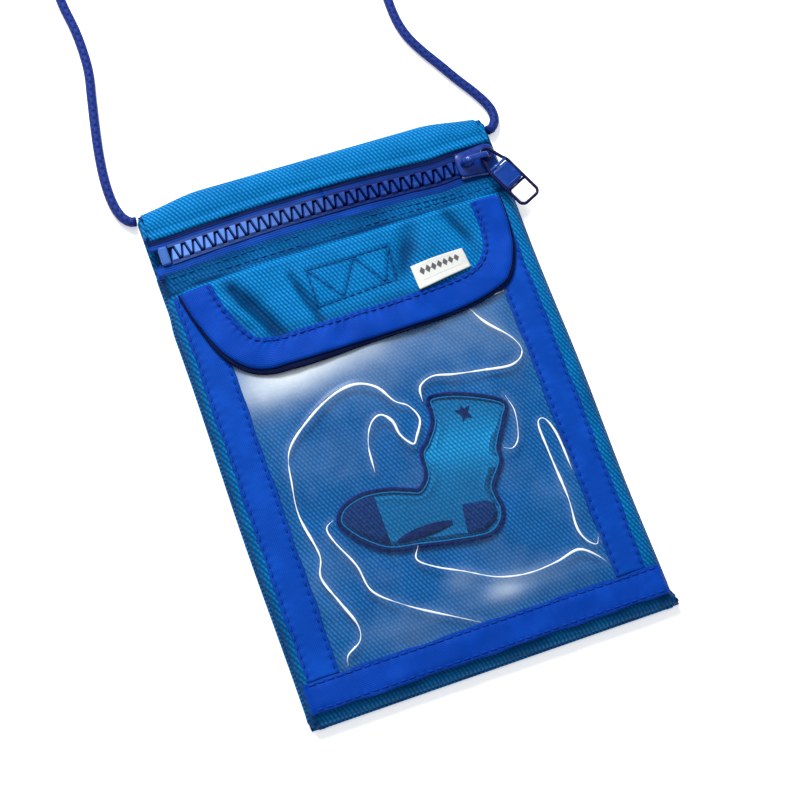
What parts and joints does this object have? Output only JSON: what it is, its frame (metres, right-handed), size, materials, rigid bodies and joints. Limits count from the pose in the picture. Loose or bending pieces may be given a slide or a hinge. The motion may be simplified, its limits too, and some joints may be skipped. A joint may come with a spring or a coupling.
{
  "type": "neck pouch wallet",
  "caption": "Flat zipped neck pouch with a front flap over a clear window pocket, a sewn sock patch, a moulded-tooth zip and a neck cord, lying on its back.",
  "frame": {"origin": "middle of the back face, on the surface the pouch lies on", "axes": "+X to the right side of the pouch as it is read, +Y towards the zip and the neck cord, +Z out of the front face"},
  "size_m": [0.1362, 0.2988, 0.0124],
  "materials": {
    "body_cloth": "cyan-blue twill polyester with a light sheen",
    "ribbon": "royal-blue fine-ribbed binding tape, stitched",
    "zip_tape": "royal-blue woven zip tape",
    "teeth": "light-blue moulded teeth",
    "slider": "glossy blue lacquered slider",
    "pull_frame": "navy lacquered wire frame",
    "pull_panel": "royal-blue moulded insert",
    "hook_loop": "navy hook-and-loop tape",
    "label": "white woven label, blank",
    "film": "clear soft vinyl film with creases",
    "sock_cloth": "bright blue weave",
    "sock_navy": "navy weave and corded border",
    "cord": "navy-blue round braided cord",
    "thread": "dark blue bartack thread"
  },
  "bodies": {
    "pouch": {"back_panel": "body_cloth", "front_panel": "body_cloth", "bartack_left": "thread", "bartack_right": "thread", "zip_tape_lower": "zip_tape", "zip_teeth_lower": "teeth", "zip_bottom_stop": "teeth", "zip_top_stop_lower": "teeth", "ribbon_left": "ribbon", "ribbon_right": "ribbon", "ribbon_bottom": "ribbon", "pocket_mouth_binding": "ribbon", "window_film": "film", "loop_patch": "hook_loop", "sock_patch": "sock_cloth", "sock_toe": "sock_navy", "sock_heel": "sock_navy", "sock_border": "sock_navy", "cord_left": "cord", "cord_right": "cord", "cord_coil": "cord", "cord_tie": "cord"},
    "mouth_lip": {"header_strip": "body_cloth", "zip_tape_upper": "zip_tape", "zip_teeth_upper": "teeth", "zip_top_stop_upper": "teeth"},
    "zip_slider": {"slider_body": "slider", "slider_bail": "slider"},
    "zip_pull": {"pull_frame": "pull_frame", "pull_panel": "pull_panel"},
    "flap": {"flap_panel": "body_cloth", "flap_root": "body_cloth", "flap_binding": "ribbon", "hook_patch": "hook_loop", "woven_label": "label"}
  },
  "joints": [
    {"name": "zip_slide", "type": "slide", "parent": "pouch", "child": "zip_slider", "axis": [-1, 0, 0], "range_m": [0, 0.099], "deforming": ["zip_teeth_upper", "zip_teeth_lower", "zip_tape_upper"]},
    {"name": "mouth_gape", "type": "hinge", "parent": "pouch", "child": "mouth_lip", "pos_m": [0, 0.0895, 0.0011], "axis": [-1, 0, 0], "range_deg": [0, 18]},
    {"name": "pull_swivel", "type": "hinge", "parent": "zip_slider", "child": "zip_pull", "pos_m": [0.0556, 0.0704, 0.0103], "axis": [0, 0, 1], "range_deg": [0, 130]},
    {"name": "flap_lift", "type": "hinge", "parent": "pouch", "child": "flap", "pos_m": [0, 0.0586, 0.0068], "axis": [-1, 0, 0], "range_deg": [0, 105], "deforming": ["flap_root"]}
  ],
  "couplings": [
    {"joint": "mouth_gape", "follows": "zip_slide", "rad_per_m": 3}
  ]
}
